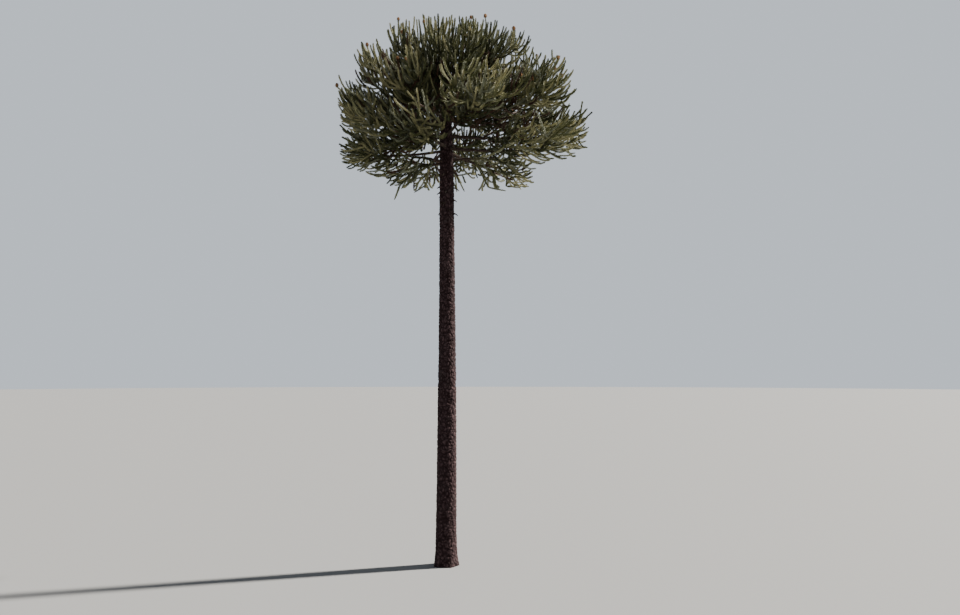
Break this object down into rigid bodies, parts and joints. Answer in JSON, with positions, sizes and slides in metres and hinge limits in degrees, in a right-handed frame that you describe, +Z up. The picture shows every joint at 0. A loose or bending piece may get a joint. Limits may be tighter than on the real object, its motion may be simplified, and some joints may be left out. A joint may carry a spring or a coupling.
{
  "type": "monkey puzzle tree",
  "caption": "Tall evergreen with a bare straight trunk under a wide umbrella crown of whorled boughs that carry rope-like scaly leafy shoots, cut flat at ground level.",
  "frame": {"origin": "centre of the flat cut under the trunk, at ground level", "axes": "+Z up along the trunk, +X to the side where the crown reaches furthest, and the tree is looked at along +Y"},
  "size_m": [12.9648, 13.2742, 27.3456],
  "materials": {
    "bark": "rough plated purplish-brown bark, greyer and pinker where it is lit",
    "bough_bark": "rough dark grey-brown bark",
    "foliage": "stiff scale leaves, dark green to olive, slightly waxy"
  },
  "bodies": {
    "root": {"bough_01": "bough_bark", "bough_02": "bough_bark", "bough_03": "bough_bark", "bough_04": "bough_bark", "bough_05": "bough_bark", "bough_06": "bough_bark", "bough_07": "bough_bark", "bough_08": "bough_bark", "bough_09": "bough_bark", "bough_10": "bough_bark", "bough_11": "bough_bark", "bough_12": "bough_bark", "bough_13": "bough_bark", "bough_14": "bough_bark", "bough_15": "bough_bark", "bough_16": "bough_bark", "bough_17": "bough_bark", "bough_18": "bough_bark", "bough_19": "bough_bark", "bough_20": "bough_bark", "bough_21": "bough_bark", "bough_22": "bough_bark", "bough_23": "bough_bark", "bough_24": "bough_bark", "bough_25": "bough_bark", "bough_26": "bough_bark", "bough_27": "bough_bark", "foliage_01": "foliage", "foliage_02": "foliage", "foliage_03": "foliage", "foliage_04": "foliage", "foliage_05": "foliage", "foliage_06": "foliage", "foliage_07": "foliage", "foliage_08": "foliage", "foliage_09": "foliage", "foliage_10": "foliage", "foliage_11": "foliage", "foliage_12": "foliage", "foliage_13": "foliage", "foliage_14": "foliage", "foliage_15": "foliage", "foliage_16": "foliage", "foliage_17": "foliage", "foliage_18": "foliage", "foliage_19": "foliage", "foliage_20": "foliage", "foliage_21": "foliage", "foliage_22": "foliage", "foliage_23": "foliage", "foliage_24": "foliage", "foliage_25": "foliage", "foliage_26": "foliage", "foliage_27": "foliage", "foliage_28": "foliage", "foliage_29": "foliage", "foliage_30": "foliage", "foliage_31": "foliage", "foliage_32": "foliage", "trunk": "bark"}
  },
  "joints": []
}
